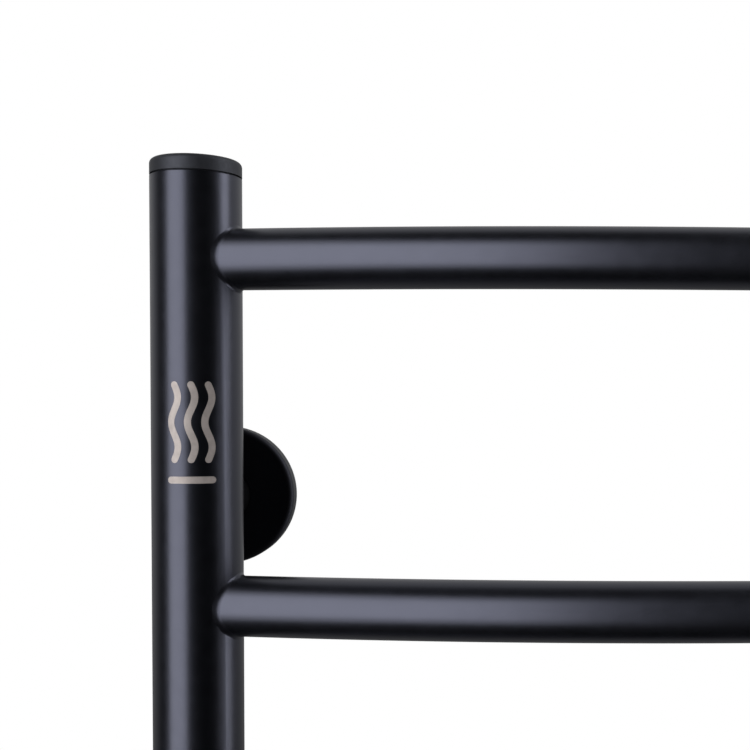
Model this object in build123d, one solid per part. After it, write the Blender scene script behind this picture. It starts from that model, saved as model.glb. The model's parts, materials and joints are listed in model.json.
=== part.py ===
"""Electric ladder towel warmer: two round posts, six bowed rungs and four telescopic wall brackets.

Frame, in millimetres: +X to the right, +Y into the wall, +Z up. The origin is the centre of the
four wall screws' rectangle, on the wall plane. The rack stands in front of the wall, at negative Y.
"""

import os
from math import asin, cos, degrees, radians, sin

from build123d import *

# Rack
POST_SPACING = 462.0
POST_R = 19.05
POST_WALL = 1.5
RUNG_R = 13.0
RUNG_WALL = 1.5
RUNG_COUNT = 6
RUNG_PITCH = 148.0
RUNG_BOW = 24.0
END_LENGTH = 35.0
RUNG_HOLE_R = 9.5
WELD = 1.8
EDGE_BREAK = 0.3

# End caps
CAP_HEIGHT = 6.5
CAP_ROUND = 2.2
CAP_GAP = 0.5
CAP_NECK_R = 17.9
SKIRT_LENGTH = 16.0
SKIRT_WALL = 3.1
SKIRT_FLOOR = 1.0
FIT_GAP = 0.15
GROOVE_DEPTH = 1.5
GROOVE_WIDTH = 2.0
SEAL_WIRE_R = 0.8
SEAL_GAP = 0.02

# Wall brackets
STAND_OFF = 60.0
BRACKET_DROP = 104.5
FLANGE_R = 22.0
FLANGE = 4.0
SOCKET_R = 12.0
SOCKET_LENGTH = 30.0
SOCKET_FLOOR = 8.0
ARM_R = 9.0
ARM_CLEARANCE = 0.05
ARM_END = 13.5
ARM_CHAMFER = 0.8
STUD_R = 4.0
STUD_END = -25.5
INSERT_R = 6.0
INSERT_LENGTH = 12.0
COVER_R = 32.5
COVER_DEPTH = 10.0
COVER_WALL = 1.4
COVER_ROUND = 2.5
COVER_BORE_R = 12.3
SCREW_R = 2.5
SCREW_NECK_R = 2.4
SCREW_HOLE_R = 2.75
SCREW_LENGTH = 42.0
SCREW_TIP = 5.0
SCREW_TIP_R = 0.5
SCREW_HEAD_R = 5.0
SCREW_HEAD = 4.0
SCREW_HEAD_ROUND = 1.2
SCREW_RECESS_R = 1.6
SCREW_RECESS = 2.5
GRUB_R = 2.5
GRUB_Y = -25.0
GRUB_RECESSED = 0.3
GRUB_KEY_R = 1.4
COVER_HUB = 2.7
COVER_GROOVE = 1.3
COVER_LIP = 0.8
RING_WIRE_R = 0.7
RING_GAP = 0.05
HUB_CLEARANCE = 0.6

# Heating cable
CABLE_R = 3.0
CABLE_BEND = 12.0
CABLE_TAIL = 45.0
END_SEAL_R = 4.2
END_SEAL_LENGTH = 30.0
END_SEAL_OVERLAP = 25.0
END_SEAL_ROUND = 2.0

# Controller, inside the right post between the two lowest rungs
CONTROLLER_LOW = -347.5
CONTROLLER_HIGH = -279.5
CONTROLLER_R = 16.8
CONTROLLER_WALL = 1.4
CONTROLLER_FLOOR = 2.0
CABLE_ENTRY = 6.0
HOLE_GAP = 0.1
LID = 2.0
LID_SPIGOT = 3.0
BOARD_WIDTH = 27.0
BOARD_LOW = -335.5
BOARD_HIGH = -283.5
BOARD_THICK = 1.6
BOARD_Y_OFFSET = 3.0
RELAY_LOW = -307.5
RELAY_SIZE = (12.0, 9.0, 18.0)
TERMINALS_LOW = -334.5
TERMINALS_SIZE = (18.0, 8.0, 9.0)
FUSE_R = 2.0
FUSE_LOW = -323.5
FUSE_HIGH = -311.5
SENSOR_R = 2.2
SENSOR_LENGTH = 12.0
SENSOR_STEM_R = 0.8
SENSOR_STEM = 14.0
SENSOR_OFF_WALL = 2.5

# Power button, in the right post's front
BUTTON_Z = -312.5
BUTTON_R = 6.0
BUTTON_PROUD = 1.0
BUTTON_DEPTH = 6.0
BUTTON_ROUND = 0.6
STEM_R = 2.5
STEM_CLEARANCE = 0.08
BEZEL_R = 9.5
BEZEL_PROUD = 2.0
BEZEL_ROUND = 0.8
BUSH_R = 8.0
BUSH_BACK = 9.5
BUSH_FLOOR = 1.5
LIGHT_IN_R = 6.8
LIGHT_OUT_R = 8.3
LIGHT_DEPTH = 1.6
SPRING_WIRE_R = 0.3
SPRING_R = 3.8
SPRING_TURNS = 4
SWITCH_SIZE = 6.0
SWITCH_DEPTH = 4.0
PLUNGER_R = 1.7
PLUNGER_PROUD = 1.5
PLUNGER_DEPTH = 1.2
PLUNGER_GAP = 0.06
SWITCH_WALL = 1.0

# Supply leads, between the gland and the controller
LEAD_R = 1.1
LEAD_SPREAD = 5.0
LEAD_BACK = 9.5
LEAD_BEND = 5.0
LEAD_END = TERMINALS_LOW
CONNECTOR_LOW = -395.5
CONNECTOR_HIGH = -384.5
CONNECTOR_WIDTH = 15.0
CONNECTOR_BACK = (0.5, 11.5)

# Cable gland, in the right post's bottom cap
GLAND_R = 8.0
GLAND_BORE_R = 4.2
GLAND_FLANGE = 4.0
GLAND_FLANGE_R = 11.0
GLAND_INSIDE = 14.0
GLAND_OUTSIDE = 9.0
GLAND_THREAD_R = 7.2
SEAL_OUT_R = 5.5
SEAL_BORE_R = 3.5
SEAL_LENGTH = 7.0
DOME_R = 9.5
DOME_LENGTH = 12.0
DOME_ROUND = 3.0
DOME_GAP = 1.0
LOCK_NUT_R = 12.5
LOCK_NUT = 4.0

# Earth bond, in the right post's back
EARTH_Z = -379.5
EARTH_SCREW_R = 2.0
EARTH_SCREW_LENGTH = 7.5
EARTH_HEAD_R = 3.6
EARTH_HEAD = 2.2
EARTH_HEAD_ROUND = 1.0
LUG_R = 4.0
LUG_THICK = 1.0
LUG_OFF_WALL = 0.5
LUG_TONGUE = (4.0, 10.0)
LUG_BARREL_R = 1.8
LUG_BARREL = (7.0, 13.0)
NUT_R = 4.0
NUT_THICK = 3.0

# Worked out
HALF_SPACING = POST_SPACING / 2
POST_Y = -STAND_OFF
POST_IN_R = POST_R - POST_WALL
POST_BACK = POST_Y + POST_R
POST_FRONT = POST_Y - POST_R
TOP_RUNG_Z = (RUNG_COUNT - 1) * RUNG_PITCH / 2
RUNG_HEIGHTS = [TOP_RUNG_Z - n * RUNG_PITCH for n in range(RUNG_COUNT)]
TUBE_END = TOP_RUNG_Z + END_LENGTH
CAP_END = TUBE_END + CAP_GAP + CAP_HEIGHT
BRACKET_Z = TOP_RUNG_Z - BRACKET_DROP
BOW_R = (HALF_SPACING**2 + RUNG_BOW**2) / (2 * RUNG_BOW)
BOW_CENTRE_Y = POST_Y - RUNG_BOW + BOW_R
BOW_HALF_ANGLE = degrees(asin(HALF_SPACING / BOW_R))
BOARD_FRONT = POST_Y + BOARD_Y_OFFSET - BOARD_THICK / 2
BOARD_BACK = BOARD_FRONT + BOARD_THICK
SIDES = {"left": -1, "right": 1}
CORNERS = {
    "top_left": (-1, 1),
    "top_right": (1, 1),
    "bottom_left": (-1, -1),
    "bottom_right": (1, -1),
}
RIGHT_X = HALF_SPACING

UP = (Align.CENTER, Align.CENTER, Align.MIN)


# Basic shapes


def upright(radius, low, high, x, y=POST_Y):
    """Cylinder along Z from low to high."""
    return Pos(x, y, low) * Cylinder(radius, high - low, align=UP)


def wallward(radius, near, far, x, z):
    """Cylinder along Y from near to far."""
    return Pos(x, near, z) * Rot(-90, 0, 0) * Cylinder(radius, far - near, align=UP)


def block(low, high):
    """Box between two corners."""
    size = [b - a for a, b in zip(low, high)]
    centre = [(a + b) / 2 for a, b in zip(low, high)]
    return Pos(*centre) * Box(*size)


def hexagon(radius, low, high, x, y=POST_Y):
    """Hexagonal prism along Z, radius to its corners."""
    return Pos(x, y, low) * extrude(RegularPolygon(radius, 6), high - low)


def upright_ring(mean_r, wire_r, x, z):
    """Round ring about a post's axis."""
    return Pos(x, POST_Y, z) * Torus(mean_r, wire_r)


def wallward_ring(mean_r, wire_r, x, y, z):
    """Round ring about a line along Y."""
    return Pos(x, y, z) * Rot(90, 0, 0) * Torus(mean_r, wire_r)


def bow_point(angle, z):
    """Point of the rungs' arc at an angle, in degrees, from its middle."""
    turn = radians(angle)
    return Vector(BOW_R * sin(turn), BOW_CENTRE_Y - BOW_R * cos(turn), z)


def bow_tangent(angle):
    """Direction of the rungs' arc, towards +X."""
    turn = radians(angle)
    return Vector(cos(turn), sin(turn), 0)


def bowed_rod(radius, z):
    """Round bar along the rungs' arc, from one post's axis to the other's."""
    start = Plane(
        origin=bow_point(-BOW_HALF_ANGLE, z),
        x_dir=(0, 0, 1),
        z_dir=bow_tangent(-BOW_HALF_ANGLE),
    )
    turning_axis = Axis((0, BOW_CENTRE_Y, 0), (0, 0, 1))
    return revolve(start * Circle(radius), turning_axis, 2 * BOW_HALF_ANGLE)


def swept_tube(points, bends, radius):
    """Round lead along straight runs joined by tangent arcs."""
    path = FilletPolyline(*points, radius=bends)
    return sweep(Plane(path @ 0, z_dir=path % 0) * Circle(radius), path)


# Rack


def post(side):
    """Tube with a hole at every rung and bracket."""
    x = side * HALF_SPACING
    bar = upright(POST_R, -TUBE_END, TUBE_END, x)
    bar = chamfer(bar.edges().filter_by(GeomType.CIRCLE), EDGE_BREAK)
    bar -= upright(POST_IN_R, -TUBE_END, TUBE_END, x)
    for z in RUNG_HEIGHTS:
        bar -= bowed_rod(RUNG_HOLE_R, z)
    for z in (BRACKET_Z, -BRACKET_Z):
        bar -= wallward(INSERT_R, POST_Y, POST_BACK + 1, x, z)
    return bar


def right_post():
    """Right post, with its button and earth screw holes too."""
    bar = post(1)
    bar -= wallward(BUSH_R, POST_FRONT - 1, POST_Y, RIGHT_X, BUTTON_Z)
    bar -= wallward(EARTH_SCREW_R, POST_Y, POST_BACK + 1, RIGHT_X, EARTH_Z)
    return bar


def rung(z):
    """Bowed tube, coped to both posts."""
    bar = bowed_rod(RUNG_R, z) - bowed_rod(RUNG_R - RUNG_WALL, z)
    for side in SIDES.values():
        bar -= upright(POST_R, z - 2 * RUNG_R, z + 2 * RUNG_R, side * HALF_SPACING)
    return bar


def weld_beads():
    """Ring of weld at both ends of every rung."""
    beads = []
    for z in RUNG_HEIGHTS:
        low, high = z - 2 * RUNG_R, z + 2 * RUNG_R
        collar = bowed_rod(RUNG_R + WELD, z) - bowed_rod(RUNG_R, z)
        for side in SIDES.values():
            x = side * HALF_SPACING
            beads.append(collar & (upright(POST_R + WELD, low, high, x) - upright(POST_R, low, high, x)))
    return group(beads)


def end_cap(side):
    """Push-in cap at a post's top: a head as wide as the tube, a neck and a grooved skirt."""
    x = side * HALF_SPACING
    skirt_r = POST_IN_R - FIT_GAP
    head = upright(POST_R, TUBE_END + CAP_GAP, CAP_END, x)
    head = fillet(head.edges().filter_by(GeomType.CIRCLE).sort_by(Axis.Z)[-1], CAP_ROUND)
    head += upright(CAP_NECK_R, TUBE_END, TUBE_END + CAP_GAP, x)
    head += upright(skirt_r, TUBE_END - SKIRT_LENGTH, TUBE_END, x)
    head -= upright(skirt_r - SKIRT_WALL, TUBE_END - SKIRT_LENGTH, TUBE_END - SKIRT_FLOOR, x)
    low = TUBE_END - (SKIRT_LENGTH + GROOVE_WIDTH) / 2
    high = low + GROOVE_WIDTH
    return head - (upright(POST_R, low, high, x) - upright(skirt_r - GROOVE_DEPTH, low, high, x))


def bottom_cap(side):
    """The same cap, at a post's bottom."""
    return mirror(end_cap(side), about=Plane.XY)


def gland_cap():
    """Bottom cap of the right post, drilled for the cable gland."""
    return bottom_cap(1) - upright(GLAND_R, -CAP_END, -TUBE_END + SKIRT_FLOOR, RIGHT_X)


def cap_seals():
    """Four rings in the caps' grooves, touching the posts' bores."""
    mean_r = POST_IN_R - SEAL_GAP - SEAL_WIRE_R
    height = TUBE_END - SKIRT_LENGTH / 2
    return group(
        upright_ring(mean_r, SEAL_WIRE_R, side * HALF_SPACING, end * height)
        for side, end in CORNERS.values()
    )


# Wall brackets


def bracket_place(corner):
    """X and Z of a bracket's axis."""
    side, end = CORNERS[corner]
    return side * HALF_SPACING, end * BRACKET_Z


def at_brackets(shape):
    """One solid of the same shape at every bracket."""
    return group(shape(*bracket_place(corner)) for corner in CORNERS)


def wall_base(x, z):
    """Flange with a socket for the arm, a screw hole in its floor and a grub screw hole below."""
    base = wallward(FLANGE_R, -FLANGE, 0, x, z) + wallward(SOCKET_R, -SOCKET_LENGTH, 0, x, z)
    base -= wallward(ARM_R + ARM_CLEARANCE, -SOCKET_LENGTH, -SOCKET_FLOOR, x, z)
    base -= wallward(SCREW_HOLE_R, -SOCKET_FLOOR, 0, x, z)
    return base - upright(GRUB_R, z - SOCKET_R - 1, z, x, GRUB_Y)


def wall_screw(x, z):
    """Pan head wood screw through the base, standing out of its back."""
    head = wallward(SCREW_HEAD_R, -SOCKET_FLOOR - SCREW_HEAD, -SOCKET_FLOOR, x, z)
    head = fillet(head.edges().filter_by(GeomType.CIRCLE).sort_by(Axis.Y)[0], SCREW_HEAD_ROUND)
    head_front = -SOCKET_FLOOR - SCREW_HEAD
    head -= wallward(SCREW_RECESS_R, head_front, head_front + SCREW_RECESS, x, z)
    neck = wallward(SCREW_NECK_R, -SOCKET_FLOOR, 0, x, z)
    shank_end = SCREW_LENGTH - SCREW_TIP
    shank = wallward(SCREW_R, 0, shank_end, x, z)
    cone = Cone(SCREW_R, SCREW_TIP_R, SCREW_TIP, align=UP)
    return head + neck + shank + Pos(x, shank_end, z) * Rot(-90, 0, 0) * cone


def grub_screw(x, z):
    """Socket set screw in the socket's underside, just short of the arm."""
    inner = z - ARM_R - ARM_CLEARANCE
    screw = upright(GRUB_R, z - SOCKET_R + GRUB_RECESSED, inner, x, GRUB_Y)
    return screw - hexagon(GRUB_KEY_R, z - SOCKET_R, inner - 1, x, GRUB_Y)


def bracket_arm(x, z):
    """Bar from the socket to the post, coped to the post and tapped for its stud."""
    arm = wallward(ARM_R, POST_Y, -ARM_END, x, z)
    arm = chamfer(arm.edges().filter_by(GeomType.CIRCLE).sort_by(Axis.Y)[-1], ARM_CHAMFER)
    arm -= upright(POST_R, z - 2 * ARM_R, z + 2 * ARM_R, x)
    return arm - wallward(STUD_R, POST_Y, STUD_END + 1, x, z)


def arm_stud(x, z):
    """Threaded stud that joins an arm to the insert in its post."""
    return wallward(STUD_R, POST_BACK - INSERT_LENGTH + 1, STUD_END, x, z)


def post_insert(x, z):
    """Threaded insert in a post's back wall, as long as the stud needs."""
    insert = wallward(INSERT_R, POST_BACK - INSERT_LENGTH, POST_BACK, x, z)
    insert &= upright(POST_R, z - 2 * INSERT_R, z + 2 * INSERT_R, x)
    return insert - wallward(STUD_R, POST_BACK - INSERT_LENGTH, POST_BACK, x, z)


def wall_cover(x, z):
    """Round cup that hides a base's flange and slides along its socket."""
    cup = wallward(COVER_R, -COVER_DEPTH, 0, x, z)
    cup = fillet(cup.edges().filter_by(GeomType.CIRCLE).sort_by(Axis.Y)[0], COVER_ROUND)
    cavity_front = -COVER_DEPTH + COVER_WALL
    cup -= wallward(COVER_R - COVER_WALL, cavity_front, 0, x, z)
    hub_back = -FLANGE - HUB_CLEARANCE
    cup += wallward(COVER_BORE_R + COVER_HUB, cavity_front, hub_back, x, z)
    cup -= wallward(COVER_BORE_R, -COVER_DEPTH, 0, x, z)
    groove_r = COVER_BORE_R + COVER_GROOVE
    return cup - wallward(groove_r, cavity_front + COVER_LIP, hub_back - COVER_LIP, x, z)


def cover_ring(x, z):
    """Ring in a cover's groove that grips the socket."""
    groove_mid = (-COVER_DEPTH + COVER_WALL - FLANGE - HUB_CLEARANCE) / 2
    return wallward_ring(SOCKET_R + RING_GAP + RING_WIRE_R, RING_WIRE_R, x, groove_mid, z)


# Heating cable


def cable_path():
    """Line through every rung from the bottom up, changing post between rungs."""
    bend_angle = BOW_HALF_ANGLE - degrees(CABLE_BEND / BOW_R)
    up = Vector(0, 0, 1)
    heights = sorted(RUNG_HEIGHTS)
    edges = []
    side = 1
    corner = bow_point(bend_angle, 0) + bow_tangent(bend_angle) * CABLE_BEND
    here = Vector(corner.X, corner.Y, CONTROLLER_LOW + CONTROLLER_FLOOR + CABLE_ENTRY)
    for n, z in enumerate(heights):
        rising = n > 0
        turn_z = z - CABLE_BEND if rising else z + CABLE_BEND
        turn_start = Vector(here.X, here.Y, turn_z)
        edges.append(Edge.make_line(here, turn_start))
        entry = bow_point(side * bend_angle, z)
        edges.append(Edge.make_tangent_arc(turn_start, up if rising else -up, entry))
        leave = bow_point(-side * bend_angle, z)
        along = bow_tangent(side * bend_angle) * -side
        edges.append(Edge.make_tangent_arc(entry, along, leave))
        along = bow_tangent(-side * bend_angle) * -side
        last = n == len(heights) - 1
        lift = -CABLE_BEND if last else CABLE_BEND
        here = leave + along * CABLE_BEND + Vector(0, 0, lift)
        edges.append(Edge.make_tangent_arc(leave, along, here))
        side = -side
    edges.append(Edge.make_line(here, here - up * CABLE_TAIL))
    return Wire(edges)


def heating_cable():
    """Twin-core heating cable, in one length."""
    path = cable_path()
    section = Plane(path @ 0, z_dir=path % 0) * Circle(CABLE_R)
    return sweep(section, path)


def cable_end_seal():
    """Shrunk cap on the cable's far end."""
    end = cable_path() @ 1
    high = end.Z + END_SEAL_OVERLAP
    low = high - END_SEAL_LENGTH
    seal = upright(END_SEAL_R, low, high, end.X, end.Y)
    seal = fillet(seal.edges().filter_by(GeomType.CIRCLE).sort_by(Axis.Z)[0], END_SEAL_ROUND)
    return seal - upright(CABLE_R, end.Z, high, end.X, end.Y)


# Controller


def controller_housing():
    """Cup that holds the board, with holes for the button, the cable and the leads."""
    inner_r = CONTROLLER_R - CONTROLLER_WALL
    floor_top = CONTROLLER_LOW + CONTROLLER_FLOOR
    cup = upright(CONTROLLER_R, CONTROLLER_LOW, CONTROLLER_HIGH, RIGHT_X)
    cup -= upright(inner_r, floor_top, CONTROLLER_HIGH, RIGHT_X)
    cup -= wallward(BUSH_R + HOLE_GAP, POST_FRONT, POST_Y, RIGHT_X, BUTTON_Z)
    cup -= upright(CABLE_R + HOLE_GAP, CONTROLLER_LOW, floor_top, RIGHT_X)
    for x, y in lead_places():
        cup -= upright(LEAD_R + HOLE_GAP, CONTROLLER_LOW, floor_top, x, y)
    return cup


def controller_lid():
    """Disc with a spigot that closes the housing."""
    inner_r = CONTROLLER_R - CONTROLLER_WALL
    lid = upright(CONTROLLER_R, CONTROLLER_HIGH, CONTROLLER_HIGH + LID, RIGHT_X)
    spigot_low = CONTROLLER_HIGH - LID_SPIGOT
    return lid + upright(inner_r - HOLE_GAP, spigot_low, CONTROLLER_HIGH, RIGHT_X)


def on_board_back(size, low):
    """Block on the middle of the board's back, from a height up."""
    width, depth, height = size
    near = (RIGHT_X - width / 2, BOARD_BACK, low)
    far = (RIGHT_X + width / 2, BOARD_BACK + depth, low + height)
    return block(near, far)


def controller_board():
    """Circuit board, upright across the housing."""
    half = BOARD_WIDTH / 2
    return block((RIGHT_X - half, BOARD_FRONT, BOARD_LOW), (RIGHT_X + half, BOARD_BACK, BOARD_HIGH))


def relay():
    """Relay that switches the heating cable, on the board's back."""
    return on_board_back(RELAY_SIZE, RELAY_LOW)


def thermal_fuse():
    """Over-temperature fuse, upright on the board's back."""
    return upright(FUSE_R, FUSE_LOW, FUSE_HIGH, RIGHT_X, BOARD_BACK + FUSE_R)


def terminal_block():
    """Row of terminals for the leads, low on the board's back."""
    return on_board_back(TERMINALS_SIZE, TERMINALS_LOW)


def temperature_sensor():
    """Bead and stem that read the post's temperature above the controller."""
    y = POST_Y - POST_IN_R + SENSOR_OFF_WALL
    low = CONTROLLER_HIGH + LID
    bead_low = low + SENSOR_STEM
    stem = upright(SENSOR_STEM_R, low, bead_low, RIGHT_X, y)
    return stem + upright(SENSOR_R, bead_low, bead_low + SENSOR_LENGTH, RIGHT_X, y)


# Power button


def button_bezel():
    """Flanged bush, saddle-shaped behind its flange, with a groove for the light ring."""
    front = POST_FRONT - BEZEL_PROUD
    flange = wallward(BEZEL_R, front, POST_Y, RIGHT_X, BUTTON_Z)
    flange = fillet(flange.edges().filter_by(GeomType.CIRCLE).sort_by(Axis.Y)[0], BEZEL_ROUND)
    flange -= upright(POST_R, BUTTON_Z - 2 * BEZEL_R, BUTTON_Z + 2 * BEZEL_R, RIGHT_X)
    back = POST_FRONT + BUSH_BACK
    bezel = flange + wallward(BUSH_R, POST_FRONT, back, RIGHT_X, BUTTON_Z)
    bezel -= wallward(BUTTON_R + STEM_CLEARANCE, front, back - BUSH_FLOOR, RIGHT_X, BUTTON_Z)
    bezel -= wallward(STEM_R + STEM_CLEARANCE, front, back, RIGHT_X, BUTTON_Z)
    groove = wallward(LIGHT_OUT_R, front, front + LIGHT_DEPTH, RIGHT_X, BUTTON_Z)
    return bezel - (groove - wallward(LIGHT_IN_R, front, front + LIGHT_DEPTH, RIGHT_X, BUTTON_Z))


def led_ring():
    """Light guide in the bezel's groove."""
    front = POST_FRONT - BEZEL_PROUD
    ring = wallward(LIGHT_OUT_R, front, front + LIGHT_DEPTH, RIGHT_X, BUTTON_Z)
    return ring - wallward(LIGHT_IN_R, front, front + LIGHT_DEPTH, RIGHT_X, BUTTON_Z)


def button_front():
    """Y of the button's face."""
    return POST_FRONT - BEZEL_PROUD - BUTTON_PROUD


def switch_front():
    """Y of the tactile switch's face."""
    return BOARD_FRONT - SWITCH_DEPTH


def power_button():
    """Round push button with a stem that reaches the switch's plunger."""
    face = button_front()
    button = wallward(BUTTON_R, face, face + BUTTON_DEPTH, RIGHT_X, BUTTON_Z)
    button = fillet(button.edges().filter_by(GeomType.CIRCLE).sort_by(Axis.Y)[0], BUTTON_ROUND)
    stem_end = switch_front() - PLUNGER_PROUD
    return button + wallward(STEM_R, face + BUTTON_DEPTH, stem_end, RIGHT_X, BUTTON_Z)


def switch_plunger():
    """Plunger of the tactile switch, pushed by the button's stem."""
    near = switch_front() - PLUNGER_PROUD
    far = switch_front() + PLUNGER_DEPTH
    return wallward(PLUNGER_R, near, far, RIGHT_X, BUTTON_Z)


def tactile_switch():
    """Switch body on the board's front, with a well for the plunger."""
    half = SWITCH_SIZE / 2
    low = (RIGHT_X - half, switch_front(), BUTTON_Z - half)
    high = (RIGHT_X + half, BOARD_FRONT, BUTTON_Z + half)
    well_end = BOARD_FRONT - SWITCH_WALL
    well = wallward(PLUNGER_R + PLUNGER_GAP, switch_front(), well_end, RIGHT_X, BUTTON_Z)
    return block(low, high) - well


def button_spring():
    """Coil that lifts the button off the bush's floor."""
    near = button_front() + BUTTON_DEPTH + SPRING_WIRE_R
    far = POST_FRONT + BUSH_BACK - BUSH_FLOOR - SPRING_WIRE_R
    pitch = (far - near) / SPRING_TURNS
    coil = Helix(pitch, far - near, SPRING_R, (RIGHT_X, near, BUTTON_Z), (0, 1, 0))
    return sweep(Plane(coil @ 0, z_dir=coil % 0) * Circle(SPRING_WIRE_R), coil)


# Supply side


def lead_places():
    """X and Y of the three leads where they enter the controller."""
    return [(RIGHT_X + n * LEAD_SPREAD, POST_Y + LEAD_BACK) for n in (-1, 0, 1)]


def supply_connector():
    """Screw connector that takes the mains cord's cores above the gland."""
    half = CONNECTOR_WIDTH / 2
    near, far = CONNECTOR_BACK
    low = (RIGHT_X - half, POST_Y + near, CONNECTOR_LOW)
    high = (RIGHT_X + half, POST_Y + far, CONNECTOR_HIGH)
    return block(low, high)


def supply_leads():
    """Two leads from the connector up to the controller's terminals."""
    outer = [lead_places()[0], lead_places()[2]]
    return group(upright(LEAD_R, CONNECTOR_HIGH, LEAD_END, x, y) for x, y in outer)


def lug_front():
    """Y of the lug's face, away from the post's wall."""
    return POST_BACK - POST_WALL - LUG_OFF_WALL - LUG_THICK


def earth_screw():
    """Pan head screw through the post's back wall."""
    head = wallward(EARTH_HEAD_R, POST_BACK, POST_BACK + EARTH_HEAD, RIGHT_X, EARTH_Z)
    head = fillet(head.edges().filter_by(GeomType.CIRCLE).sort_by(Axis.Y)[-1], EARTH_HEAD_ROUND)
    end = POST_BACK - EARTH_SCREW_LENGTH
    return head + wallward(EARTH_SCREW_R, end, POST_BACK, RIGHT_X, EARTH_Z)


def earth_lug():
    """Ring terminal and crimped barrel behind the post's wall."""
    front, back = lug_front(), lug_front() + LUG_THICK
    width, height = LUG_TONGUE
    barrel_low, barrel_high = LUG_BARREL
    lug = wallward(LUG_R, front, back, RIGHT_X, EARTH_Z)
    low = (RIGHT_X - width / 2, front, EARTH_Z)
    lug += block(low, (RIGHT_X + width / 2, back, EARTH_Z + height))
    barrel_y = back - LUG_BARREL_R
    lug += upright(LUG_BARREL_R, EARTH_Z + barrel_low, EARTH_Z + barrel_high, RIGHT_X, barrel_y)
    lug -= upright(LEAD_R, EARTH_Z + barrel_low + 1, EARTH_Z + barrel_high, RIGHT_X, barrel_y)
    return lug - wallward(EARTH_SCREW_R, front, back, RIGHT_X, EARTH_Z)


def earth_nut():
    """Hexagonal nut that clamps the lug."""
    near, far = lug_front() - NUT_THICK, lug_front()
    prism = extrude(RegularPolygon(NUT_R, 6), NUT_THICK)
    nut = Pos(RIGHT_X, near, EARTH_Z) * Rot(-90, 0, 0) * prism
    return nut - wallward(EARTH_SCREW_R, near, far, RIGHT_X, EARTH_Z)


def earth_lead():
    """Lead from the lug to the controller's middle terminal."""
    barrel_y = lug_front() + LUG_THICK - LUG_BARREL_R
    lead_y = POST_Y + LEAD_BACK
    points = [
        (RIGHT_X, barrel_y, EARTH_Z + 8),
        (RIGHT_X, barrel_y, EARTH_Z + 18),
        (RIGHT_X, lead_y, EARTH_Z + 27),
        (RIGHT_X, lead_y, LEAD_END),
    ]
    return swept_tube(points, LEAD_BEND, LEAD_R)


# Cable gland


def gland_body():
    """Barrel through the cap, hexagonal flange below it and a cup for the seal."""
    face = -CAP_END
    bottom = face - GLAND_FLANGE - GLAND_OUTSIDE
    body = upright(GLAND_R, face, face + GLAND_INSIDE, RIGHT_X)
    body += hexagon(GLAND_FLANGE_R, face - GLAND_FLANGE, face, RIGHT_X)
    body += upright(GLAND_THREAD_R, bottom, face - GLAND_FLANGE, RIGHT_X)
    body -= upright(GLAND_BORE_R, bottom, face + GLAND_INSIDE, RIGHT_X)
    return body - upright(SEAL_OUT_R, bottom, bottom + SEAL_LENGTH, RIGHT_X)


def gland_seal():
    """Rubber sleeve that grips the mains cord."""
    bottom = -CAP_END - GLAND_FLANGE - GLAND_OUTSIDE
    sleeve = upright(SEAL_OUT_R, bottom, bottom + SEAL_LENGTH, RIGHT_X)
    return sleeve - upright(SEAL_BORE_R, bottom, bottom + SEAL_LENGTH, RIGHT_X)


def gland_dome_nut():
    """Domed nut that squeezes the seal."""
    high = -CAP_END - GLAND_FLANGE - DOME_GAP
    low = high - DOME_LENGTH
    nut = upright(DOME_R, low, high, RIGHT_X)
    nut = fillet(nut.edges().filter_by(GeomType.CIRCLE).sort_by(Axis.Z)[0], DOME_ROUND)
    nut -= upright(GLAND_THREAD_R, -CAP_END - GLAND_FLANGE - GLAND_OUTSIDE, high, RIGHT_X)
    return nut - upright(GLAND_BORE_R, low, high, RIGHT_X)


def gland_lock_nut():
    """Nut on the barrel, inside the cap."""
    low = -TUBE_END + SKIRT_FLOOR
    nut = hexagon(LOCK_NUT_R, low, low + LOCK_NUT, RIGHT_X)
    return nut - upright(GLAND_R, low, low + LOCK_NUT, RIGHT_X)


# Assembly


def group(solids):
    """Separate solids that share one node."""
    return Compound(children=[solid for shape in solids for solid in shape.solids()])


def all_parts():
    """Every node's name and shape."""
    parts = {
        "post_left": post(-1),
        "post_right": right_post(),
        "weld_beads": weld_beads(),
        "end_cap_top_left": end_cap(-1),
        "end_cap_top_right": end_cap(1),
        "end_cap_bottom_left": bottom_cap(-1),
        "end_cap_bottom_right": gland_cap(),
        "cap_seals": cap_seals(),
        "wall_screws": at_brackets(wall_screw),
        "grub_screws": at_brackets(grub_screw),
        "arm_studs": at_brackets(arm_stud),
        "post_inserts": at_brackets(post_insert),
    }
    for n, z in enumerate(RUNG_HEIGHTS, start=1):
        parts[f"rung_{n}"] = rung(z)
    for corner in CORNERS:
        place = bracket_place(corner)
        parts[f"wall_base_{corner}"] = wall_base(*place)
        parts[f"bracket_arm_{corner}"] = bracket_arm(*place)
        parts[f"wall_cover_{corner}"] = wall_cover(*place)
        parts[f"cover_ring_{corner}"] = cover_ring(*place)
    inner_pieces = [
        heating_cable,
        cable_end_seal,
        controller_housing,
        controller_lid,
        controller_board,
        relay,
        thermal_fuse,
        terminal_block,
        temperature_sensor,
        button_bezel,
        led_ring,
        power_button,
        switch_plunger,
        tactile_switch,
        button_spring,
        supply_connector,
        supply_leads,
        earth_screw,
        earth_lug,
        earth_nut,
        earth_lead,
        gland_body,
        gland_seal,
        gland_dome_nut,
        gland_lock_nut,
    ]
    for piece in inner_pieces:
        parts[piece.__name__] = piece()
    return parts


os.makedirs("parts", exist_ok=True)
for name, shape in all_parts().items():
    export_step(shape, f"parts/{name}.step")
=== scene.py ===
"""Looks of the towel warmer rack: camera, studio, finishes, rungs, weld beads, marks, screws and spring."""

import json
from math import asin, ceil, cos, pi, radians, sin, sqrt, tan

import bmesh
import bpy
from mathutils import Matrix, Vector


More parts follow.
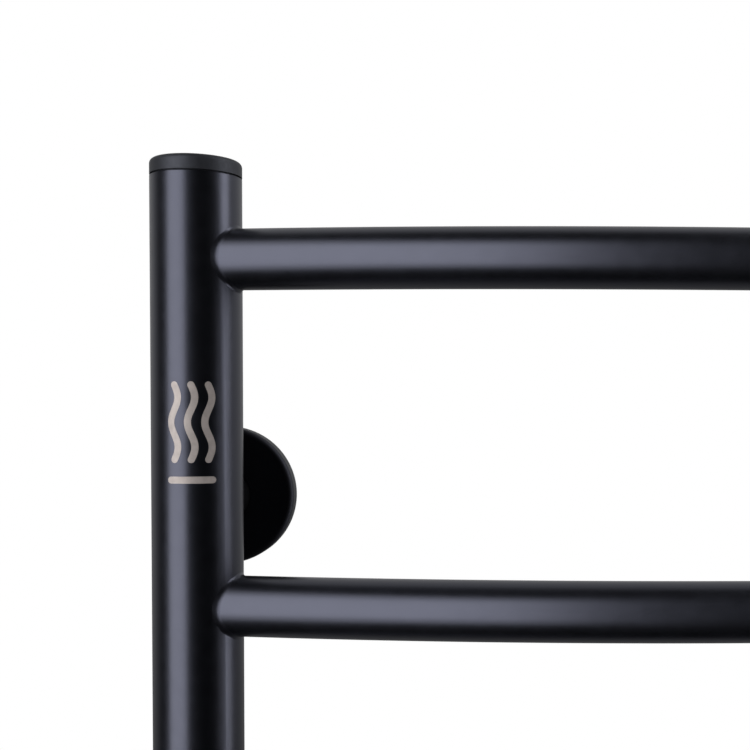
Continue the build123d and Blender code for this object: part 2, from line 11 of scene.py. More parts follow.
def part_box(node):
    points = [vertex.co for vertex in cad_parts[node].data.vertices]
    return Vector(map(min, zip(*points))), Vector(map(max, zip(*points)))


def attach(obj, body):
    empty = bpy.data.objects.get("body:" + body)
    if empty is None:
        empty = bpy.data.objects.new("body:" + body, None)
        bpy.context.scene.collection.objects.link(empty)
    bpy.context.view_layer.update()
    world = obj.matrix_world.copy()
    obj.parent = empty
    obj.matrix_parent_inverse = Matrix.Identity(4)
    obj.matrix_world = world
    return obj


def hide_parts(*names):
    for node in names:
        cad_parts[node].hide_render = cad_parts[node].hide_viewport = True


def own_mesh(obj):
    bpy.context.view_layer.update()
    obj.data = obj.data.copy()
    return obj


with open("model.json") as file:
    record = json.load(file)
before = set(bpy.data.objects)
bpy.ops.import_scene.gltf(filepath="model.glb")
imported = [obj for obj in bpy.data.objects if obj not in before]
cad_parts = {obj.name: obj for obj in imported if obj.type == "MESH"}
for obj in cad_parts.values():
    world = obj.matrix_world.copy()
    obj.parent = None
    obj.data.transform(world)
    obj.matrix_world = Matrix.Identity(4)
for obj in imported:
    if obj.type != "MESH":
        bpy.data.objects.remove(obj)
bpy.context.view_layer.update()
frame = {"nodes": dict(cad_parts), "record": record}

MM = 0.001

# Camera, fitted to the photo's edges with SHIFT held at a given value.
# Its place is from where the left post's axis meets the top rung's height.
LENS = 57.581
SENSOR = 36.0
CLIP_START = 0.01
SHIFT = (-0.2367, 0.0927)
YAW = -0.04914
PITCH = -0.03299
ROLL = 0.00432
CAMERA_FROM_CORNER = Vector((0.12704, -0.52207, -0.06118))

# Studio
FLOOR_Z = -0.95
FLOOR_HALF = 3.2
FLOOR_GLOW = 0.45
FRONT_GLOW = 0.003
BACKDROP_GLOW = 0.5
BACKDROP_FROM = -0.1
BACKDROP_FULL = 0.5
LOW_GLOW = 0.35
LOW_FROM = -0.35
LOW_FULL = 0.15
CAMERA_WHITE = 1.0
PANEL_DISTANCE = 1.6
KEY_AZIMUTHS = (-62, -16.5)
KEY_LAYERS = ((-43, 58), (-29, 44))
# Overlapping panels in one plane came out too dim, so each layer stands a little further back
LAYER_GAP = 0.05
KEY_RADIANCE = 3.0
RUNG_AZIMUTHS = (-16.5, 0.5)
SIDE_AZIMUTHS = (76, 99)
SIDE_ELEVATIONS = (-36, 62)
SIDE_RADIANCE = 3.15

# Sockets of Blender's Mix node, which has several of each name
MIX_FLOAT_A = 2
MIX_FLOAT_B = 3
MIX_COLOUR_A = 6
MIX_COLOUR_B = 7
MIX_COLOUR_RESULT = 2

# Finishes
# Painted highlight colour: a bluish tint on the coats' reflections that stands in for the softboxes' bluish
# light
PAINTED_HIGHLIGHT_TINT = (0.74, 0.77, 1.0, 1)
NOISE_LOW = 0.3
NOISE_HIGH = 0.7
WAVE_RATE = 20
STRIPE_WAVER = 0.6

# Rungs and weld beads
RUNG_R = 13 * MM
BOW = 24 * MM
RUNG_WALL = 1.5 * MM
RUNG_SUNK = 0.6 * MM
RUNG_SIDES = 96
RUNG_STEPS = 72
BEAD_WIDTH = 1.3 * MM
BEAD_HOLLOW = 0.14
BEAD_TUCK = 0.06
BEAD_ROOT = 0.5 * MM
BEAD_RIPPLE = 0.04
BEAD_RIPPLES = 14
BEAD_STEPS = 120
BEAD_SIDES = 11
SHARP_ANGLE = 35

# Marks
MARK_ANGLE = radians(6)
MARK_DROP = 73.5 * MM
MARK_LIFT = 0.03 * MM
MARK_DEPTH = 0.1 * MM
WAVE_SPACING = 7 * MM
WAVE_SWING = 1.5 * MM
WAVE_TURNS = 1.5
WAVE_LOW = -11 * MM
WAVE_HEIGHT = 31 * MM
WAVE_STEPS = 48
BAR_HALF = 8.7 * MM
BAR_HEIGHT = -19.5 * MM
STROKE_HALF = 1.45 * MM
STROKE_COLUMNS = 6
CAP_LEANS = [radians(a) for a in (0, 18, 36, 54, 70, 82, 88)]
RING_R = 2.6 * MM
RING_GAP = radians(38)
RING_STROKE = 0.32 * MM
LINE_FROM = 0.15
LINE_LENGTH = 1.05
LINE_STEPS = 6

# Wall screws
SCREW_R = 2.5 * MM
SCREW_CORE = 1.7 * MM
SCREW_POINT = 0.15 * MM
SCREW_TAPER = 6 * MM
SCREW_END = 42 * MM
SCREW_SIDES = 32
THREAD_START = 1 * MM
THREAD_PITCH = 2.2 * MM
THREAD_CREST = 0.4
THREAD_STEPS = 8
HEAD_R = 5 * MM
HEAD_DEPTH = 4 * MM
HEAD_ROUND = 1.2 * MM
HEAD_STEPS = 6
RECESS_R = 1.6 * MM
RECESS_DEPTH = 2.5 * MM
RECESS_MIDDLE = 0.01 * MM
NECK_R = 2.4 * MM

# Button spring
SPRING_TURNS = 4
SPRING_WIRE_R = 0.3 * MM
SPRING_STEPS = 160
SPRING_SIDES = 16

# Rack's driving sizes, read from the frame
left_low, left_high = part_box("post_left")
right_low, right_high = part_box("post_right")
POST_R = (left_high.x - left_low.x) / 2
HALF_SPACING = (right_low.x + right_high.x) / 2
POST_Y = (left_low.y + left_high.y) / 2
RUNG_NAMES = [f"rung_{n}" for n in range(1, 7)]
RUNG_HEIGHTS = [(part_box(name)[0].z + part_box(name)[1].z) / 2 for name in RUNG_NAMES]
BOW_R = (HALF_SPACING**2 + BOW**2) / (2 * BOW)
BOW_CENTRE_Y = POST_Y - BOW + BOW_R
CORNER = Vector((-HALF_SPACING, POST_Y, RUNG_HEIGHTS[0]))
CORNERS = ("top_left", "top_right", "bottom_left", "bottom_right")


# Camera and light


def add_camera():
    """Camera at the photograph's viewing angle."""
    forward = Vector((-sin(YAW) * cos(PITCH), cos(YAW) * cos(PITCH), sin(PITCH)))
    level = Vector((cos(YAW), sin(YAW), 0))
    upward = level.cross(forward)
    across = cos(ROLL) * level + sin(ROLL) * upward
    up = -sin(ROLL) * level + cos(ROLL) * upward
    data = bpy.data.cameras.new("camera")
    data.sensor_width = SENSOR
    data.lens = LENS
    data.shift_x, data.shift_y = SHIFT
    data.clip_start = CLIP_START
    camera = bpy.data.objects.new("camera", data)
    camera.matrix_world = Matrix.Translation(CORNER + CAMERA_FROM_CORNER) @ Matrix(
        (across, up, -forward)
    ).transposed().to_4x4()
    bpy.context.scene.collection.objects.link(camera)
    bpy.context.scene.camera = camera


def add_panel(name, azimuths, elevations, radiance, distance=PANEL_DISTANCE):
    """Upright soft light that fills a range of azimuths and elevations, in degrees, seen from the corner."""
    middle = radians(sum(azimuths) / 2)
    width = 2 * distance * tan(radians(azimuths[1] - azimuths[0]) / 2)
    low, high = (distance * tan(radians(e)) for e in elevations)
    data = bpy.data.lights.new(name, "AREA")
    data.shape = "RECTANGLE"
    data.size = width
    data.size_y = high - low
    # A panel's power is pi times its radiance and its area
    data.energy = radiance * pi * width * (high - low)
    lamp = bpy.data.objects.new(name, data)
    out = Vector((sin(middle), -cos(middle), 0))
    lamp.location = CORNER + out * distance + Vector((0, 0, (low + high) / 2))
    lamp.rotation_euler = out.to_track_quat("Z", "Y").to_euler()
    lamp.visible_camera = False
    bpy.context.scene.collection.objects.link(lamp)
    return lamp


def limit_light(lamp, objects, state):
    """The lamp lights only these objects, or all but these."""
    group = bpy.data.collections.new(f"{lamp.name}_{state.lower()}")
    for item in objects:
        group.objects.link(item)
    for member in group.collection_objects:
        member.light_linking.link_state = state
    lamp.light_linking.receiver_collection = group


def add_world():
    """White behind the rack, darker below and in front of it, with a white backdrop for the camera."""
    world = bpy.data.worlds.new("studio")
    world.use_nodes = True
    tree = world.node_tree
    background = tree.nodes["Background"]
    direction = tree.nodes.new("ShaderNodeTexCoord").outputs["Generated"]
    split = tree.nodes.new("ShaderNodeSeparateXYZ")
    tree.links.new(direction, split.inputs[0])

    def ramp(axis, start, full, low, high):
        made = tree.nodes.new("ShaderNodeMapRange")
        made.interpolation_type = "SMOOTHSTEP"
        tree.links.new(split.outputs[axis], made.inputs["Value"])
        for name, value in zip(("From Min", "From Max", "To Min", "To Max"), (start, full, low, high)):
            made.inputs[name].default_value = value
        return made.outputs["Result"]

    glow = tree.nodes.new("ShaderNodeMath")
    glow.operation = "MULTIPLY"
    tree.links.new(ramp("Y", BACKDROP_FROM, BACKDROP_FULL, FRONT_GLOW, BACKDROP_GLOW), glow.inputs[0])
    tree.links.new(ramp("Z", LOW_FROM, LOW_FULL, LOW_GLOW, 1.0), glow.inputs[1])
    path = tree.nodes.new("ShaderNodeLightPath")
    pick = tree.nodes.new("ShaderNodeMix")
    tree.links.new(path.outputs["Is Camera Ray"], pick.inputs["Factor"])
    tree.links.new(glow.outputs[0], pick.inputs[MIX_FLOAT_A])
    pick.inputs[MIX_FLOAT_B].default_value = CAMERA_WHITE
    tree.links.new(pick.outputs[0], background.inputs["Strength"])
    background.inputs["Color"].default_value = (1, 1, 1, 1)
    bpy.context.scene.world = world


def add_lights(rung_pieces):
    """Tall soft panels to the left and right; the rungs and their beads see a wider one on the left."""
    add_world()
    kinds = ("wall_cover", "bracket_arm", "wall_base")
    shaded = [f"{kind}_{corner}" for kind in kinds for corner in CORNERS]
    radiance = KEY_RADIANCE / len(KEY_LAYERS)
    for n, elevations in enumerate(KEY_LAYERS):
        distance = PANEL_DISTANCE + n * LAYER_GAP
        key = add_panel(f"key_panel_{n + 1}", KEY_AZIMUTHS, elevations, radiance, distance)
        limit_light(key, [frame["nodes"][name] for name in shaded], "EXCLUDE")
        wide = add_panel(f"rung_panel_{n + 1}", RUNG_AZIMUTHS, elevations, radiance, distance)
        limit_light(wide, rung_pieces, "INCLUDE")
    add_panel("side_panel", SIDE_AZIMUTHS, SIDE_ELEVATIONS, SIDE_RADIANCE)


def add_floor():
    """Pale floor under the rack."""
    mesh = bpy.data.meshes.new("floor")
    far = FLOOR_HALF
    mesh.from_pydata([(-far, -far, 0), (far, -far, 0), (far, far, 0), (-far, far, 0)], [], [(0, 1, 2, 3)])
    floor = bpy.data.objects.new("floor", mesh)
    floor.location.z = FLOOR_Z
    floor.visible_glossy = floor.visible_diffuse = False
    finish = Finish("floor", (0.8, 0.8, 0.79), 0.7)
    finish.set(Emission_Color=(1, 1, 1, 1), Emission_Strength=FLOOR_GLOW)
    mesh.materials.append(finish.material)
    bpy.context.scene.collection.objects.link(floor)


# Materials


class Finish:
    """A node material built round one Principled shader, in object coordinates."""

    def __init__(self, name, colour, roughness, metallic=0.0):
        self.material = bpy.data.materials.new(name)
        self.material.use_nodes = True
        self.tree = self.material.node_tree
        self.shader = self.tree.nodes["Principled BSDF"]
        self.shader.inputs["Base Color"].default_value = (*colour, 1)
        self.shader.inputs["Roughness"].default_value = roughness
        self.shader.inputs["Metallic"].default_value = metallic
        self.colour = colour
        self.place = self.tree.nodes.new("ShaderNodeTexCoord").outputs["Object"]
        self.height_normal = None

    def set(self, **values):
        """Sets shader sockets, named with _ for a space."""
        for name, value in values.items():
            self.shader.inputs[name.replace("_", " ")].default_value = value
        return self

    def node(self, kind, **inputs):
        """A node with some of its inputs set or linked."""
        made = self.tree.nodes.new(kind)
        for name, value in inputs.items():
            socket = made.inputs[name.replace("_", " ")]
            if isinstance(value, bpy.types.NodeSocket):
                self.tree.links.new(value, socket)
            else:
                socket.default_value = value
        return made

    def noise(self, size, detail=2.0, stretch=(1, 1, 1)):
        """Noise with features about size metres across, longer along the axes that stretch names."""
        scale = tuple(1 / s for s in stretch)
        mapped = self.node("ShaderNodeMapping", Vector=self.place, Scale=scale)
        made = self.node("ShaderNodeTexNoise", Vector=mapped.outputs[0], Scale=1 / size, Detail=detail)
        return made.outputs["Fac"]

    def cells(self, size):
        """Distance to the nearest of scattered points about size metres apart."""
        made = self.node("ShaderNodeTexVoronoi", Vector=self.place, Scale=1 / size)
        return made.outputs["Distance"]

    def stripes(self, size, axis):
        """Fine ridges across an axis, 2 pi times size metres apart."""
        made = self.node("ShaderNodeTexWave", Vector=self.place, Scale=1 / size / WAVE_RATE)
        made.bands_direction = axis
        made.inputs["Distortion"].default_value = STRIPE_WAVER
        return made.outputs["Fac"]

    def spread(self, value, low, high):
        """A value in a texture's usual range, spread from low to high."""
        made = self.node("ShaderNodeMapRange", Value=value)
        made.inputs["From Min"].default_value = NOISE_LOW
        made.inputs["From Max"].default_value = NOISE_HIGH
        made.inputs["To Min"].default_value = low
        made.inputs["To Max"].default_value = high
        return made.outputs["Result"]

    def mottle(self, value, amount):
        """The colour varies by an amount either way."""
        made = self.tree.nodes.new("ShaderNodeMix")
        made.data_type = "RGBA"
        self.tree.links.new(self.spread(value, 0, 1), made.inputs[0])
        made.inputs[MIX_COLOUR_A].default_value = (*(c * (1 - amount) for c in self.colour), 1)
        made.inputs[MIX_COLOUR_B].default_value = (*(min(1, c * (1 + amount)) for c in self.colour), 1)
        self.tree.links.new(made.outputs[MIX_COLOUR_RESULT], self.shader.inputs["Base Color"])
        return self

    def rough(self, value, low, high):
        """The roughness varies from low to high."""
        self.tree.links.new(self.spread(value, low, high), self.shader.inputs["Roughness"])
        return self

    def bump(self, value, depth):
        """Relief of that depth, in metres, on top of any relief before it."""
        made = self.node("ShaderNodeBump", Height=value, Distance=depth)
        if self.height_normal:
            self.tree.links.new(self.height_normal, made.inputs["Normal"])
        self.height_normal = made.outputs[0]
        self.tree.links.new(self.height_normal, self.shader.inputs["Normal"])
        return self


def powder_coat():
    """Satin black powder coat with a fine orange peel."""
    made = Finish("powder_coat", (0.0014, 0.0015, 0.0018), 0.31)
    made.set(Specular_IOR_Level=1.0, Specular_Tint=PAINTED_HIGHLIGHT_TINT)
    made.mottle(made.noise(0.012), 0.15)
    made.rough(made.noise(0.006), 0.295, 0.325)
    made.bump(made.noise(0.0011), 8e-6)
    return made.bump(made.noise(0.0004), 3e-6)


def cover_coat():
    """The same coat, rougher and deader, on the pressed wall covers."""
    made = Finish("cover_coat", (0.006, 0.006, 0.0062), 0.5)
    made.set(Specular_IOR_Level=0.5, Specular_Tint=PAINTED_HIGHLIGHT_TINT)
    made.mottle(made.noise(0.008), 0.15)
    made.rough(made.noise(0.004), 0.47, 0.53)
    made.bump(made.noise(0.0011), 8e-6)
    return made.bump(made.noise(0.0004), 4e-6)


def zinc_steel():
    """Bright zinc plate with a faint spangle and fine scratches."""
    made = Finish("zinc_steel", (0.60, 0.61, 0.63), 0.3, metallic=1.0)
    made.mottle(made.cells(0.003), 0.08)
    made.rough(made.noise(0.002, stretch=(6, 1, 1)), 0.24, 0.38)
    return made.bump(made.noise(0.0005, stretch=(8, 1, 1)), 4e-6)


def black_steel():
    """Black oxide on small hardened screws."""
    made = Finish("black_steel", (0.05, 0.05, 0.055), 0.38, metallic=1.0)
    made.mottle(made.noise(0.001), 0.2)
    made.rough(made.noise(0.0015), 0.32, 0.45)
    return made.bump(made.noise(0.0004), 4e-6)


def cap_plastic():
    """Black moulded plastic with a fine matt grain."""
    made = Finish("cap_plastic", (0.007, 0.0072, 0.008), 0.54)
    # The bluish specular tint is painted highlight colour, standing in for the softboxes' bluish light
    made.set(Specular_IOR_Level=0.75, Specular_Tint=(0.8, 0.84, 1.0, 1))
    made.mottle(made.noise(0.004), 0.2)
    made.rough(made.noise(0.002), 0.51, 0.57)
    made.bump(made.cells(0.0006), 1.2e-5)
    return made.bump(made.noise(0.0003), 8e-6)


def seal_rubber():
    """Matt black rubber."""
    made = Finish("seal_rubber", (0.02, 0.02, 0.02), 0.75)
    made.mottle(made.noise(0.002), 0.25)
    made.rough(made.noise(0.001), 0.68, 0.82)
    return made.bump(made.noise(0.0005), 1.5e-5)


def cable_jacket():
    """Extruded red silicone, with faint lines along the cable."""
    made = Finish("cable_jacket", (0.35, 0.03, 0.03), 0.45)
    made.mottle(made.noise(0.004, stretch=(1, 1, 8)), 0.12)
    made.rough(made.noise(0.002), 0.4, 0.52)
    return made.bump(made.noise(0.0006, stretch=(1, 1, 20)), 1.2e-5)


def shrink_sleeve():
    """Black heat-shrink with soft wrinkles."""
    made = Finish("shrink_sleeve", (0.02, 0.02, 0.021), 0.4)
    made.mottle(made.noise(0.003), 0.2)
    made.rough(made.noise(0.002), 0.34, 0.48)
    return made.bump(made.noise(0.002, stretch=(1, 1, 5)), 8e-5)


def housing_plastic():
    """Off-white moulded plastic."""
    made = Finish("housing_plastic", (0.75, 0.75, 0.72), 0.5)
    made.mottle(made.noise(0.006), 0.03)
    made.rough(made.noise(0.002), 0.45, 0.56)
    return made.bump(made.cells(0.0005), 1e-5)


def circuit_board():
    """Green solder mask over copper tracks."""
    made = Finish("circuit_board", (0.02, 0.16, 0.06), 0.3)
    made.mottle(made.stripes(0.0012, "X"), 0.35)
    made.rough(made.noise(0.001), 0.25, 0.4)
    return made.bump(made.stripes(0.0012, "X"), 3e-5)


def relay_plastic():
    """Blue moulded plastic."""
    made = Finish("relay_plastic", (0.03, 0.08, 0.3), 0.45)
    made.mottle(made.noise(0.003), 0.1)
    made.rough(made.noise(0.001), 0.4, 0.52)
    return made.bump(made.cells(0.0004), 1e-5)


def terminal_plastic():
    """Green moulded plastic."""
    made = Finish("terminal_plastic", (0.05, 0.3, 0.08), 0.48)
    made.mottle(made.noise(0.003), 0.1)
    made.rough(made.noise(0.001), 0.42, 0.54)
    return made.bump(made.cells(0.0004), 1e-5)


def switch_plastic():
    """Dark moulded plastic."""
    made = Finish("switch_plastic", (0.04, 0.04, 0.04), 0.5)
    made.mottle(made.noise(0.002), 0.15)
    made.rough(made.noise(0.001), 0.44, 0.58)
    return made.bump(made.cells(0.0003), 8e-6)


def sensor_resin():
    """Glossy dipped resin, slightly uneven."""
    made = Finish("sensor_resin", (0.02, 0.02, 0.02), 0.15)
    made.mottle(made.noise(0.002), 0.2)
    made.rough(made.noise(0.002), 0.1, 0.2)
    return made.bump(made.noise(0.003), 1e-4)


def button_metal():
    """Satin black turned metal, with a fine grain."""
    made = Finish("button_metal", (0.006, 0.006, 0.007), 0.33)
    made.set(Specular_IOR_Level=1.0, Specular_Tint=PAINTED_HIGHLIGHT_TINT)
    made.mottle(made.noise(0.003), 0.15)
    made.rough(made.noise(0.0015), 0.29, 0.37)
    return made.bump(made.noise(0.0005), 4e-6)


def light_guide():
    """Frosted clear plastic, unlit."""
    made = Finish("light_guide", (0.62, 0.64, 0.67), 0.42)
    made.set(Subsurface_Weight=0.3, Subsurface_Scale=0.002)
    made.mottle(made.noise(0.002), 0.04)
    made.rough(made.noise(0.001), 0.38, 0.48)
    return made.bump(made.cells(0.0004), 8e-6)


def spring_steel():
    """Bright drawn steel."""
    made = Finish("spring_steel", (0.55, 0.55, 0.56), 0.28, metallic=1.0)
    made.mottle(made.noise(0.001), 0.06)
    made.rough(made.noise(0.0008), 0.22, 0.36)
    return made.bump(made.noise(0.0004), 3e-6)


def earth_jacket():
    """Green wire insulation with yellow bands."""
    made = Finish("earth_jacket", (0.25, 0.42, 0.04), 0.45)
    made.mottle(made.stripes(0.002, "Z"), 0.6)
    made.rough(made.noise(0.001), 0.4, 0.52)
    return made.bump(made.noise(0.0006, stretch=(1, 1, 12)), 8e-6)


def engraved_metal():
    """Pale champagne metal where a laser has taken the coat away, in fine passes."""
    made = Finish("engraved_metal", (0.46, 0.41, 0.39), 0.5, metallic=0.35)
    made.mottle(made.noise(0.0025), 0.08)
    made.rough(made.noise(0.001), 0.45, 0.56)
    return made.bump(made.stripes(0.00025, "Z"), 6e-6)


FINISHES = (
    powder_coat, zinc_steel, black_steel, cap_plastic, seal_rubber, cable_jacket, shrink_sleeve,
    housing_plastic, circuit_board, relay_plastic, terminal_plastic, switch_plastic, sensor_resin,
    button_metal, light_guide, spring_steel, earth_jacket,
)


def dress_nodes():
    """Every CAD node gets its slot's finish."""
    made = {build.__name__: build().material for build in FINISHES}
    for row in frame["record"]["subparts"]:
        node = frame["nodes"][row["node"]]
        for entry in node.material_slots:
            entry.material = made[row["material_slot"]]
    dead = cover_coat().material
    for corner in CORNERS:
        for entry in frame["nodes"][f"wall_cover_{corner}"].material_slots:
            entry.material = dead
    return made


# New pieces


def add_piece(name, points, faces, body, finish):
    """A smooth mesh piece that rides on a body."""
    mesh = bpy.data.meshes.new(name)
    mesh.from_pydata(points, [], faces)
    shape = bmesh.new()
    shape.from_mesh(mesh)
    bmesh.ops.recalc_face_normals(shape, faces=shape.faces)
    shape.to_mesh(mesh)
    shape.free()
    mesh.shade_smooth()
    mesh.set_sharp_from_angle(angle=radians(SHARP_ANGLE))
    mesh.materials.append(finish)
    piece = bpy.data.objects.new(name, mesh)
    bpy.context.scene.collection.objects.link(piece)
    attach(piece, body)
    return piece


def loop_faces(rows, columns, start=0, close_rows=False):
    """Quads between rows of points, each row a closed loop."""
    faces = []
    for i in range(rows if close_rows else rows - 1):
        this, following = start + i * columns, start + (i + 1) % rows * columns
        for j in range(columns):
            k = (j + 1) % columns
            faces.append((this + j, this + k, following + k, following + j))
    return faces


def capped_faces(rows, columns, start=0):
    """Quads between rows of points, with the first and last rows filled in."""
    last = start + (rows - 1) * columns
    return loop_faces(rows, columns, start) + [tuple(range(row, row + columns)) for row in (start, last)]


def post_crossing(arc_r, post_r, side):
    """Where a circle about the rungs' arc centre crosses one about a post's axis, in plan."""
    centre = Vector((0, BOW_CENTRE_Y))
    along = (Vector((side * HALF_SPACING, POST_Y)) - centre) / BOW_R
    reach = (arc_r**2 - post_r**2 + BOW_R**2) / (2 * BOW_R)
    offset = sqrt(arc_r**2 - reach**2)
    across = Vector((-along.y, along.x)) * offset
    base = centre + reach * along
    return min((base + across, base - across), key=lambda point: abs(point.x))


def rung_skin(radius, height):
    """Points of a rung's skin, from inside one post's wall to inside the other's."""
    lines = []
    for j in range(RUNG_SIDES):
        turn = 2 * pi * j / RUNG_SIDES
        arc_r = BOW_R + radius * cos(turn)
        end = post_crossing(arc_r, POST_R - RUNG_SUNK, 1)
        lines.append((arc_r, asin(end.x / arc_r), height + radius * sin(turn)))
    points = []
    for i in range(RUNG_STEPS + 1):
        share = 2 * i / RUNG_STEPS - 1
        for arc_r, reach, z in lines:
            angle = reach * share
            points.append((arc_r * sin(angle), BOW_CENTRE_Y - arc_r * cos(angle), z))
    return points


def add_rungs(finish):
    """Bowed tubes whose ends follow the posts' round walls."""
    pieces = []
    count = (RUNG_STEPS + 1) * RUNG_SIDES
    for name, height in zip(RUNG_NAMES, RUNG_HEIGHTS):
        points = rung_skin(RUNG_R, height) + rung_skin(RUNG_R - RUNG_WALL, height)
        faces = loop_faces(RUNG_STEPS + 1, RUNG_SIDES) + loop_faces(RUNG_STEPS + 1, RUNG_SIDES, count)
        for start in (0, count - RUNG_SIDES):
            for j in range(RUNG_SIDES):
                k = (j + 1) % RUNG_SIDES
                faces.append((start + j, start + k, count + start + k, count + start + j))
        piece = add_piece(f"{name}_tube", points, faces, "rack", finish)
        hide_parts(name)
        pieces.append(piece)
    return pieces


def bead_loop(height, side):
    """Points of one weld bead, a small hollow fillet round a rung's end."""
    points = []
    for i in range(BEAD_STEPS):
        turn = 2 * pi * i / BEAD_STEPS
        width = BEAD_WIDTH * (1 + BEAD_RIPPLE * sin(BEAD_RIPPLES * turn + height))
        section = []
        for j in range(BEAD_SIDES):
            share = (1 + 2 * BEAD_TUCK) * j / (BEAD_SIDES - 1) - BEAD_TUCK
            hollow = BEAD_HOLLOW * sin(pi * share)
            section.append((width * (1 - share - hollow), width * (share - hollow)))
        section.append((-BEAD_ROOT, -BEAD_ROOT))
        for off_rung, off_post in section:
            radius = RUNG_R + off_rung
            plan = post_crossing(BOW_R + radius * cos(turn), POST_R + off_post, side)
            points.append((plan.x, plan.y, height + radius * sin(turn)))
    return points


def add_beads(finish):
    """Weld beads round both ends of every rung."""
    points, faces = [], []
    for height in RUNG_HEIGHTS:
        for side in (-1, 1):
            faces += loop_faces(BEAD_STEPS, BEAD_SIDES + 1, len(points), close_rows=True)
            points += bead_loop(height, side)
    piece = add_piece("smooth_weld_beads", points, faces, "rack", finish)
    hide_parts("weld_beads")
    return piece


# Marks


def stroke(path, half_width, place, points, faces):
    """Adds a thin closed strip with round ends along a path, laid on a surface by place(s, t, lift)."""
    first, last = path[0], path[-1]
    head = (first - path[1]).normalized()
    tail = (last - path[-2]).normalized()
    rows = [(first + head * half_width * sin(a), half_width * cos(a)) for a in CAP_LEANS[::-1]]
    rows += [(point, half_width) for point in path[1:-1]]
    rows += [(last + tail * half_width * sin(a), half_width * cos(a)) for a in CAP_LEANS]
    start = len(points)
    for i, (centre, half) in enumerate(rows):
        ahead = rows[min(i + 1, len(rows) - 1)][0]
        behind = rows[max(i - 1, 0)][0]
        way = (ahead - behind).normalized()
        across = Vector((-way.y, way.x))
        shares = [2 * j / STROKE_COLUMNS - 1 for j in range(STROKE_COLUMNS + 1)]
        for share in shares:
            spot = centre + across * half * share
            points.append(place(spot.x, spot.y, MARK_LIFT))
        for share in shares[::-1]:
            spot = centre + across * half * share
            points.append(place(spot.x, spot.y, -MARK_DEPTH))
    loop = 2 * (STROKE_COLUMNS + 1)
    faces += loop_faces(len(rows), loop, start)
    for row in (start, start + (len(rows) - 1) * loop):
        for j in range(STROKE_COLUMNS):
            faces.append((row + j, row + j + 1, row + loop - 2 - j, row + loop - 1 - j))


def on_post(s, t, lift):
    """Point on the left post, s to the right round its skin and t up from the mark's middle."""
    angle = MARK_ANGLE + s / POST_R
    radius = POST_R + lift
    x = -HALF_SPACING + radius * sin(angle)
    return x, POST_Y - radius * cos(angle), RUNG_HEIGHTS[0] - MARK_DROP + t


def on_button(s, t, lift):
    """Point on the button's face, s to the right and t up from its middle."""
    low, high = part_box("power_button")
    return (low.x + high.x) / 2 + s, low.y - lift, (low.z + high.z) / 2 + t


def add_heat_mark(finish):
    """Three rising waves over a bar, the usual sign for heat."""
    points, faces = [], []
    for middle in (-WAVE_SPACING, 0, WAVE_SPACING):
        path = []
        for i in range(WAVE_STEPS + 1):
            rise = i / WAVE_STEPS
            swing = WAVE_SWING * sin(2 * pi * WAVE_TURNS * rise)
            path.append(Vector((middle + swing, WAVE_LOW + WAVE_HEIGHT * rise)))
        stroke(path, STROKE_HALF, on_post, points, faces)
    bar = [Vector((BAR_HALF * (2 * i / WAVE_STEPS - 1), BAR_HEIGHT)) for i in range(WAVE_STEPS + 1)]
    stroke(bar, STROKE_HALF, on_post, points, faces)
    add_piece("heat_mark", points, faces, "rack", finish)


def add_power_mark(finish):
    """Open ring and upright line, the usual sign for a power button."""
    points, faces = [], []
    ring = []
    for i in range(WAVE_STEPS + 1):
        turn = RING_GAP + (2 * pi - 2 * RING_GAP) * i / WAVE_STEPS
        ring.append(Vector((RING_R * sin(turn), RING_R * cos(turn))))
    stroke(ring, RING_STROKE, on_button, points, faces)
    line = [Vector((0, RING_R * (LINE_FROM + LINE_LENGTH * i / LINE_STEPS))) for i in range(LINE_STEPS + 1)]
    stroke(line, RING_STROKE, on_button, points, faces)
    add_piece("power_mark", points, faces, "power_button", finish)


# Wall screws and button spring


def screw_radius(y, turn):
    """Radius of a wall screw's threaded part at a depth and an angle round it."""
    wave = (y / THREAD_PITCH - turn / (2 * pi)) % 1
    ridge = max(0, 1 - abs(wave - 0.5) / THREAD_CREST)
    taper = min(1, (SCREW_END - y) / SCREW_TAPER)
    return max(SCREW_POINT, taper * (SCREW_CORE + (SCREW_R - SCREW_CORE) * ridge))


def screw_rows():
    """Depths and radii along a wall screw, from its recess over its head to the end of its neck."""
    head_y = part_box("wall_screws")[0].y
    neck_y = head_y + HEAD_DEPTH
    rows = [(head_y + RECESS_DEPTH, RECESS_MIDDLE), (head_y + RECESS_DEPTH, RECESS_R), (head_y, RECESS_R)]
    for i in reversed(range(HEAD_STEPS + 1)):
        lean = pi / 2 * i / HEAD_STEPS
        rows.append((head_y + HEAD_ROUND * (1 - sin(lean)), HEAD_R - HEAD_ROUND * (1 - cos(lean))))
    rows += [(neck_y, HEAD_R), (neck_y, NECK_R), (THREAD_START, NECK_R)]
    return rows


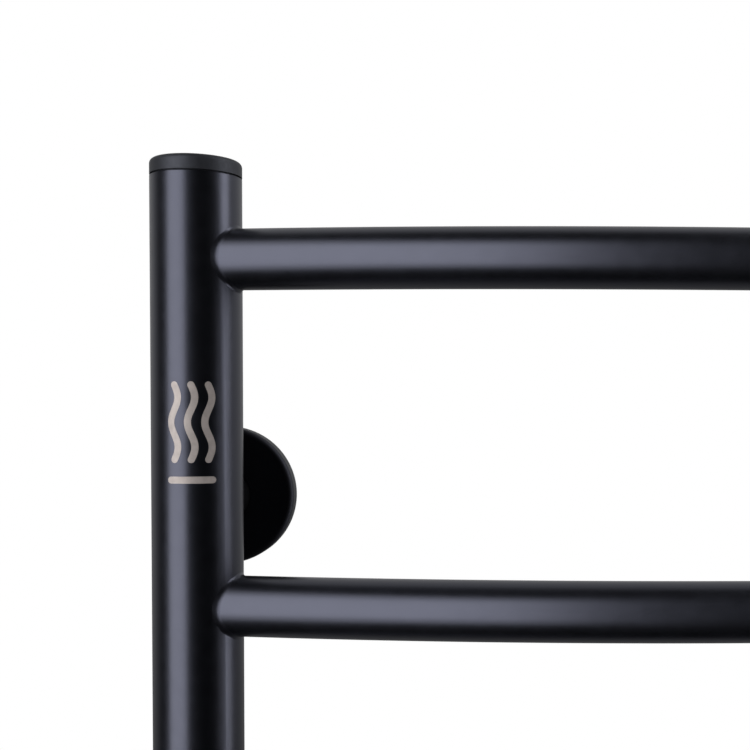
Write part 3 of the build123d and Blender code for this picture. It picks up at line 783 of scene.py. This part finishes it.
def add_screws(finish):
    """Wall screws with a recessed head and a coarse thread."""
    low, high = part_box("wall_screws")
    places = [(x, z) for x in (low.x + HEAD_R, high.x - HEAD_R) for z in (low.z + HEAD_R, high.z - HEAD_R)]
    points, faces = [], []
    rows = screw_rows()
    thread_rows = ceil((SCREW_END - THREAD_START) / THREAD_PITCH * THREAD_STEPS)
    for x, z in places:
        start = len(points)
        for y, radius in rows:
            for j in range(SCREW_SIDES):
                turn = 2 * pi * j / SCREW_SIDES
                points.append((x + radius * cos(turn), y, z + radius * sin(turn)))
        for i in range(1, thread_rows + 1):
            y = THREAD_START + (SCREW_END - THREAD_START) * i / thread_rows
            for j in range(SCREW_SIDES):
                turn = 2 * pi * j / SCREW_SIDES
                radius = screw_radius(y, turn)
                points.append((x + radius * cos(turn), y, z + radius * sin(turn)))
        faces += capped_faces(len(rows) + thread_rows, SCREW_SIDES, start)
    piece = add_piece("threaded_wall_screws", points, faces, "wall_side", finish)
    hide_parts("wall_screws")


def add_spring(finish):
    """Button spring, a coil of round wire."""
    low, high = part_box("button_spring")
    middle = (low + high) / 2
    coil_r = (high.x - low.x) / 2 - SPRING_WIRE_R
    near = low.y + SPRING_WIRE_R
    rise = high.y - SPRING_WIRE_R - near
    points = []
    for i in range(SPRING_STEPS + 1):
        share = i / SPRING_STEPS
        turn = 2 * pi * SPRING_TURNS * share
        out = Vector((cos(turn), 0, sin(turn)))
        climb = rise / (2 * pi * SPRING_TURNS)
        along = Vector((-coil_r * sin(turn), climb, coil_r * cos(turn))).normalized()
        across = along.cross(out)
        centre = Vector((middle.x, near + rise * share, middle.z)) + coil_r * out
        for j in range(SPRING_SIDES):
            lean = 2 * pi * j / SPRING_SIDES
            points.append(centre + SPRING_WIRE_R * (cos(lean) * out + sin(lean) * across))
    faces = capped_faces(SPRING_STEPS + 1, SPRING_SIDES)
    piece = add_piece("coiled_button_spring", points, faces, "rack", finish)
    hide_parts("button_spring")
    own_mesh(piece)


finishes = dress_nodes()
engraved = engraved_metal().material
rung_tubes = add_rungs(finishes["powder_coat"])
weld_beads = add_beads(finishes["powder_coat"])
add_screws(finishes["zinc_steel"])
add_heat_mark(engraved)
add_power_mark(finishes["light_guide"])
add_spring(finishes["spring_steel"])
add_camera()
add_lights([*rung_tubes, weld_beads])
add_floor()
bpy.context.scene.view_settings.view_transform = "Standard"
